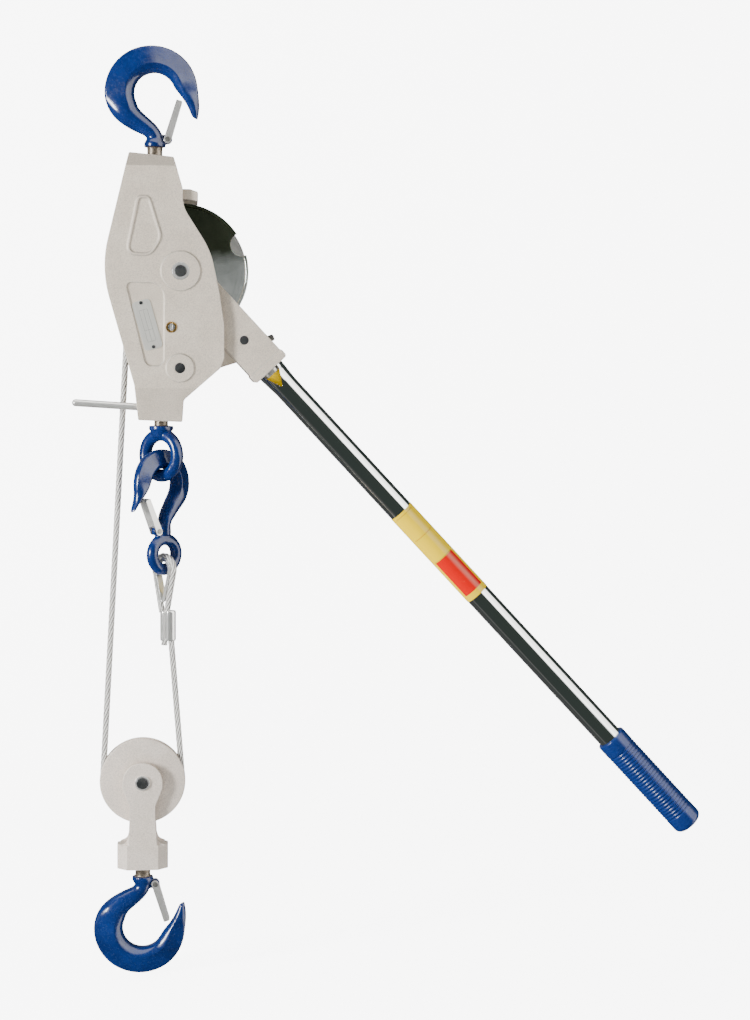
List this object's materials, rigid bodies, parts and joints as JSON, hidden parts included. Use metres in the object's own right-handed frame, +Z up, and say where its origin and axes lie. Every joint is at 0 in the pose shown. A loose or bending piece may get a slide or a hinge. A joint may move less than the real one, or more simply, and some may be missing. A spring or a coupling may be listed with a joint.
{
  "type": "come along winch",
  "caption": "Hand lever cable hoist: ratchet drum in a cast frame, swivel hooks, long chromed handle, and a rope rigged double through a lower sheave block.",
  "frame": {"origin": "centre of the top hook's bowl, where the hoist hangs from", "axes": "+Z up along the load line, +X towards the handle's side, +Y from the label face to the rear plate"},
  "size_m": [0.6333, 0.0772, 0.919],
  "materials": {
    "blue_paint": "gloss forged, painted royal blue",
    "casting": "sand-textured casting, warm grey paint",
    "block_casting": "satin aluminium",
    "zinc": "zinc plated",
    "steel": "plain steel, oiled",
    "chrome": "polished chrome",
    "wire_rope": "galvanised wire rope",
    "brass": "turned",
    "grip": "gloss vinyl",
    "label": "printed film, blank",
    "yellow_paint": "paint"
  },
  "bodies": {
    "hanger": {"top_hook": "blue_paint", "top_hook_nut": "steel", "top_hook_latch_pin": "zinc", "top_hook_latch_spring": "steel"},
    "top_latch": {"top_hook_latch": "zinc"},
    "frame": {"front_frame": "casting", "rear_frame": "casting", "stop_block": "casting", "frame_screws": "steel", "name_plate": "zinc", "name_plate_rivets": "zinc", "drag_screw": "brass", "drag_spring": "steel", "drag_plunger": "steel", "drum_shaft": "steel", "shaft_bushes": "zinc", "shaft_clips": "steel", "hub_spacers": "steel", "holding_pawl_pin": "steel", "holding_pawl_spring": "steel", "lever_pivot_pin": "steel", "rope_left_run": "wire_rope", "rope_right_run": "wire_rope"},
    "drum": {"front_disc": "zinc", "drum_core": "zinc", "ratchet_wheel": "steel", "drum_rivets": "zinc", "rope_on_drum": "wire_rope"},
    "holding_pawl": {"holding_pawl": "steel"},
    "lever": {"reversing_lever": "zinc"},
    "handle": {"yoke": "casting", "handle_tube": "chrome", "handle_tongue": "steel", "overload_cone": "yellow_paint", "handle_roll_pin": "steel", "handle_grip": "grip", "handle_label": "label", "drive_pawl_pin": "steel", "drive_pawl_spring": "steel"},
    "drive_pawl": {"drive_pawl": "steel"},
    "eye": {"swivel_eye": "blue_paint", "swivel_eye_nut": "steel", "cable_hook": "blue_paint", "cable_hook_latch_pin": "zinc", "cable_hook_latch_spring": "steel", "thimble": "zinc", "rope_eye_loop": "wire_rope", "ferrule": "zinc"},
    "cable_latch": {"cable_hook_latch": "zinc"},
    "lower_block": {"block_clevis": "block_casting", "sheave_pin": "steel", "sheave_pin_rings": "zinc", "sheave_bush": "brass", "rope_sheave_wrap": "wire_rope"},
    "sheave": {"sheave": "block_casting"},
    "bottom_hook": {"bottom_hook": "blue_paint", "bottom_hook_nut": "steel", "bottom_hook_latch_pin": "zinc", "bottom_hook_latch_spring": "steel"},
    "bottom_latch": {"bottom_hook_latch": "zinc"}
  },
  "joints": [
    {"name": "top_hook_swivel", "type": "hinge", "parent": "hanger", "child": "frame", "pos_m": [0, 0, -0.062], "axis": [0, 0, 1], "continuous": true},
    {"name": "top_latch_swing", "type": "hinge", "parent": "hanger", "child": "top_latch", "pos_m": [0.0124, 0, -0.0443], "axis": [0, -1, 0], "range_deg": [0, 25], "stiffness_Nm_per_rad": 0.05, "springref_deg": -17.19},
    {"name": "handle_swing", "type": "hinge", "parent": "frame", "child": "handle", "pos_m": [0.025, 0, -0.1734], "axis": [0, 1, 0], "range_deg": [-90, 18]},
    {"name": "drum_spin", "type": "hinge", "parent": "frame", "child": "drum", "pos_m": [0.025, 0, -0.1734], "axis": [0, 1, 0], "range_deg": [0, 144]},
    {"name": "block_lift", "type": "slide", "parent": "frame", "child": "lower_block", "axis": [0, 0, 1], "range_m": [0, 0.0617], "deforming": ["rope_left_run", "rope_right_run"]},
    {"name": "sheave_spin", "type": "hinge", "parent": "lower_block", "child": "sheave", "pos_m": [-0.0125, 0, -0.6774], "axis": [0, 1, 0], "range_deg": [0, 90]},
    {"name": "holding_pawl_swing", "type": "hinge", "parent": "frame", "child": "holding_pawl", "pos_m": [0.0245, 0, -0.2669], "axis": [0, 1, 0], "range_deg": [0, 12]},
    {"name": "drive_pawl_swing", "type": "hinge", "parent": "handle", "child": "drive_pawl", "pos_m": [0.08677, 0, -0.23941], "axis": [0, 1, 0], "range_deg": [0, 12]},
    {"name": "lever_swing", "type": "hinge", "parent": "frame", "child": "lever", "pos_m": [0.017, 0, -0.3029], "axis": [0, 1, 0], "range_deg": [0, 25]},
    {"name": "eye_swivel", "type": "hinge", "parent": "frame", "child": "eye", "pos_m": [0.006, 0, -0.3214], "axis": [0, 0, 1], "range_deg": [-15, 15]},
    {"name": "cable_latch_swing", "type": "hinge", "parent": "eye", "child": "cable_latch", "pos_m": [0.00094, -0.00424, -0.428], "axis": [-0.6428, 0.766, 0], "range_deg": [0, 25], "stiffness_Nm_per_rad": 0.05, "springref_deg": -17.19},
    {"name": "bottom_hook_swivel", "type": "hinge", "parent": "lower_block", "child": "bottom_hook", "pos_m": [-0.0125, 0, -0.7634], "axis": [0, 0, 1], "continuous": true},
    {"name": "bottom_latch_swing", "type": "hinge", "parent": "bottom_hook", "child": "bottom_latch", "pos_m": [-0.0001, 0, -0.7821], "axis": [0, 1, 0], "range_deg": [0, 25], "stiffness_Nm_per_rad": 0.05, "springref_deg": -17.19}
  ],
  "couplings": [
    {"joint": "block_lift", "follows": "drum_spin", "m_per_rad": 0.0245},
    {"joint": "sheave_spin", "follows": "drum_spin", "ratio": 0.62341}
  ]
}
